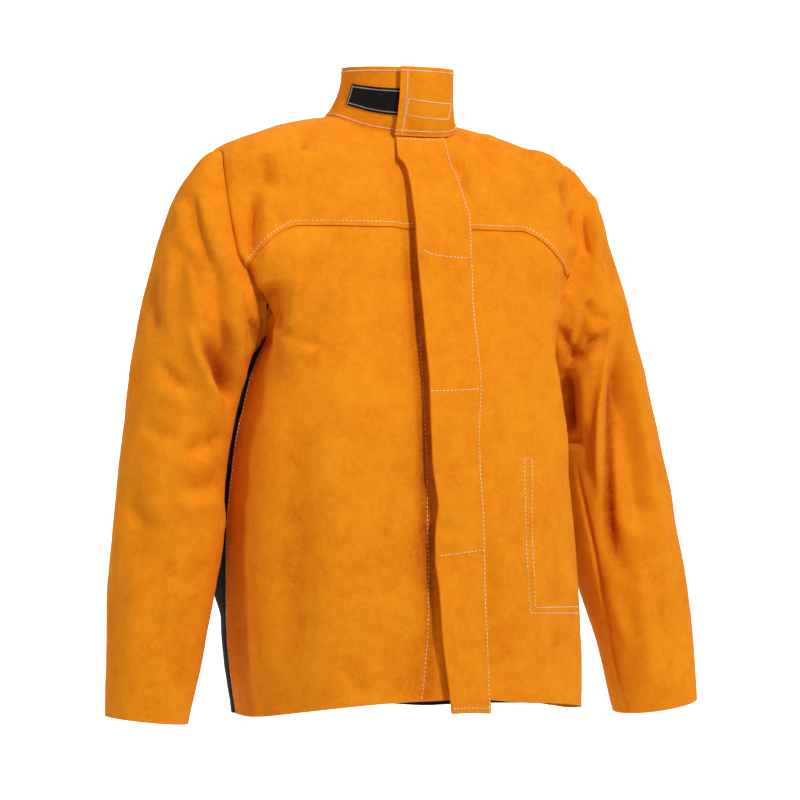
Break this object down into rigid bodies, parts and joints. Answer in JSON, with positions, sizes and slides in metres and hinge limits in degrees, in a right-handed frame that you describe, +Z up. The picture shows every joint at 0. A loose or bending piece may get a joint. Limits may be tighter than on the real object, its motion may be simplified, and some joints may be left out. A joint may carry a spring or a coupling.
{
  "type": "welding jacket",
  "caption": "Split-leather welding jacket with a stand collar, covered front closure, long open sleeves and a dark cotton back, in the form it takes when worn.",
  "frame": {"origin": "midway between the shoulders, level with the points where the collar meets the shoulder line", "axes": "+Z up, the wearer faces -Y, the wearer's left is +X"},
  "size_m": [0.7743, 0.3204, 0.7908],
  "materials": {
    "split_leather": "napped suede",
    "black_cotton": "matt woven cotton",
    "hook_tape": "hook and loop pile",
    "snap_metal": "pressed steel"
  },
  "bodies": {
    "root": {"front_right": "split_leather", "front_left": "split_leather", "back_panel": "black_cotton", "yoke": "split_leather", "sleeve_right": "split_leather", "sleeve_left": "split_leather", "collar": "split_leather", "front_flap": "split_leather", "hook_strip": "hook_tape", "loop_strip": "hook_tape", "inside_pocket": "split_leather", "snap_1": "snap_metal", "snap_2": "snap_metal", "snap_3": "snap_metal", "snap_4": "snap_metal", "snap_5": "snap_metal", "snap_6": "snap_metal"}
  },
  "joints": []
}
